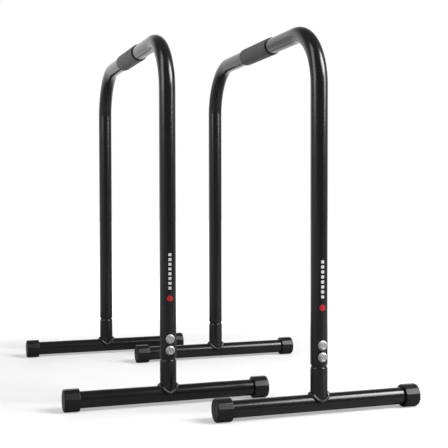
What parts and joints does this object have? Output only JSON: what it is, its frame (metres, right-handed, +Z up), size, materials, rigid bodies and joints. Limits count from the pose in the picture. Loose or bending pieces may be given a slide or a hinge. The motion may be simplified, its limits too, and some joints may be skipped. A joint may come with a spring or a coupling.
{
  "type": "parallel bars",
  "caption": "Free-standing dip bars: each bar is a bent tube frame with a grip sleeve, bolted to posts on cross feet with faceted rubber end caps.",
  "frame": {"origin": "on the floor, at the middle of the box around the pair as it stands at rest", "axes": "+Z up, +Y along the hand bars from the front legs to the back legs, +X across from the left bar to the right bar"},
  "size_m": [0.653, 0.8308, 0.7365],
  "materials": {
    "black_powder_coat": "semi-gloss black powder coat on steel",
    "grip_rubber": "matte, finely pebbled",
    "cap_rubber": "matte moulded",
    "zinc_plate": "bright zinc plate"
  },
  "bodies": {
    "left_bar": {"left_frame_tube": "black_powder_coat", "left_grip_sleeve": "grip_rubber", "left_front_foot_tube": "black_powder_coat", "left_front_post": "black_powder_coat", "left_front_weld_bead": "black_powder_coat", "left_front_bolts": "zinc_plate", "left_front_weld_nuts": "zinc_plate", "left_front_cap_left": "cap_rubber", "left_front_cap_right": "cap_rubber", "left_back_foot_tube": "black_powder_coat", "left_back_post": "black_powder_coat", "left_back_weld_bead": "black_powder_coat", "left_back_bolts": "zinc_plate", "left_back_weld_nuts": "zinc_plate", "left_back_cap_left": "cap_rubber", "left_back_cap_right": "cap_rubber"},
    "right_bar": {"right_frame_tube": "black_powder_coat", "right_grip_sleeve": "grip_rubber", "right_front_foot_tube": "black_powder_coat", "right_front_post": "black_powder_coat", "right_front_weld_bead": "black_powder_coat", "right_front_bolts": "zinc_plate", "right_front_weld_nuts": "zinc_plate", "right_front_cap_left": "cap_rubber", "right_front_cap_right": "cap_rubber", "right_back_foot_tube": "black_powder_coat", "right_back_post": "black_powder_coat", "right_back_weld_bead": "black_powder_coat", "right_back_bolts": "zinc_plate", "right_back_weld_nuts": "zinc_plate", "right_back_cap_left": "cap_rubber", "right_back_cap_right": "cap_rubber"}
  },
  "joints": [
    {"name": "bar_spacing", "type": "slide", "parent": "left_bar", "child": "right_bar", "axis": [1, 0, 0], "range_m": [-0.1, 0.4]}
  ]
}
